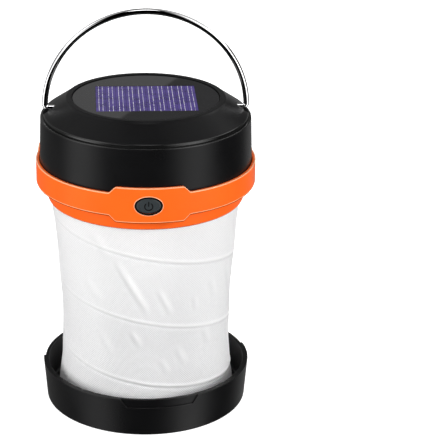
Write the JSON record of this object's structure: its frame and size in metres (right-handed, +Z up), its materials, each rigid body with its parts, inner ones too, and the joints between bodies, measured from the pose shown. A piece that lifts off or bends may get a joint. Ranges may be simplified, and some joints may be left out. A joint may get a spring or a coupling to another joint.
{
  "type": "collapsible solar lantern",
  "caption": "Collapsible solar camping lantern: round solar-topped head with a push button and wire bail, on a sprung white fabric shade that folds into a black tray.",
  "frame": {"origin": "centre of the foot plane, on the lantern's vertical axis", "axes": "+Z up, from the feet to the handle; -Y is the front, where the power button is; +X is to the right seen from the front"},
  "size_m": [0.125, 0.125, 0.2351],
  "materials": {
    "black_plastic": "satin black moulded plastic",
    "orange_plastic": "satin orange moulded plastic",
    "button_rubber": "dark grey soft button",
    "cover_acrylic": "glossy dark grey",
    "solar_cells": "purple-blue cells under a clear face",
    "handle_steel": "bright chrome wire",
    "shade_fabric": "white coated fine weave",
    "spring_steel": "spring wire",
    "white_plastic": "white moulded plastic",
    "black_rubber": "matt black rubber",
    "screw_steel": "zinc plated",
    "circuit_board": "green solder mask",
    "chip_black": "matt black moulding",
    "socket_steel": "tinned shell",
    "battery_wrap": "can in a blue shrink sleeve",
    "led_yellow": "yellow phosphor",
    "opal_plastic": "opal white",
    "red_wire": "red insulation",
    "black_wire": "black insulation"
  },
  "bodies": {
    "base": {"base_tray": "black_plastic", "shade_retainer": "black_plastic", "foot_pad_1": "black_rubber", "foot_pad_2": "black_rubber", "foot_pad_3": "black_rubber", "foot_pad_4": "black_rubber", "retainer_screw_1": "screw_steel", "retainer_screw_2": "screw_steel", "retainer_screw_3": "screw_steel"},
    "shade": {"shade_fabric": "shade_fabric", "shade_spring": "spring_steel", "shade_hoop_lower": "white_plastic"},
    "head": {"top_cap": "black_plastic", "solar_cover": "cover_acrylic", "solar_panel": "solar_cells", "lamp_ring": "orange_plastic", "cap_seal": "black_rubber", "chassis": "white_plastic", "cap_screw_1": "screw_steel", "cap_screw_2": "screw_steel", "cap_screw_3": "screw_steel", "cap_screw_4": "screw_steel", "ring_screw_1": "screw_steel", "ring_screw_2": "screw_steel", "ring_screw_3": "screw_steel", "ring_screw_4": "screw_steel", "battery_cell": "battery_wrap", "battery_cradle": "black_plastic", "control_board": "circuit_board", "driver_chip": "chip_black", "driver_coil": "chip_black", "switch_board": "circuit_board", "tact_switch": "chip_black", "charging_board": "circuit_board", "charging_socket": "socket_steel", "charging_bezel": "black_plastic", "panel_lead_positive": "red_wire", "battery_lead_positive": "red_wire", "lamp_lead_positive": "red_wire", "panel_lead_negative": "black_wire", "battery_lead_negative": "black_wire", "lamp_lead_negative": "black_wire", "reflector_plate": "white_plastic", "led_board": "white_plastic", "led_diffuser": "opal_plastic", "shade_hoop_upper": "white_plastic", "led_1": "led_yellow", "led_2": "led_yellow", "led_3": "led_yellow", "led_4": "led_yellow", "led_5": "led_yellow", "led_6": "led_yellow", "reflector_screw_1": "screw_steel", "reflector_screw_2": "screw_steel", "reflector_screw_3": "screw_steel"},
    "handle": {"carry_handle": "handle_steel"},
    "button": {"power_button": "button_rubber"},
    "flap": {"charging_flap": "black_rubber"}
  },
  "joints": [
    {"name": "twist", "type": "hinge", "parent": "base", "child": "shade", "pos_m": [0, 0, 0], "axis": [0, 0, 1], "range_deg": [0, 6]},
    {"name": "collapse", "type": "slide", "parent": "shade", "child": "head", "axis": [0, 0, -1], "range_m": [0, 0.1116], "stiffness_N_per_m": 60, "springref_m": -0.07, "deforming": ["shade_fabric", "shade_spring"]},
    {"name": "handle_swing", "type": "hinge", "parent": "head", "child": "handle", "pos_m": [0, 0, 0.178], "axis": [1, 0, 0], "range_deg": [-88, 88]},
    {"name": "button_press", "type": "slide", "parent": "head", "child": "button", "axis": [0, 1, 0], "range_m": [0, 0.0006], "stiffness_N_per_m": 300, "springref_m": -0.0005},
    {"name": "flap_hinge", "type": "hinge", "parent": "head", "child": "flap", "pos_m": [-0.011, 0.06066, 0.1423], "axis": [0, 0, 1], "range_deg": [0, 95]}
  ],
  "couplings": [
    {"joint": "twist", "follows": "collapse", "rad_per_m": 0.93834}
  ]
}
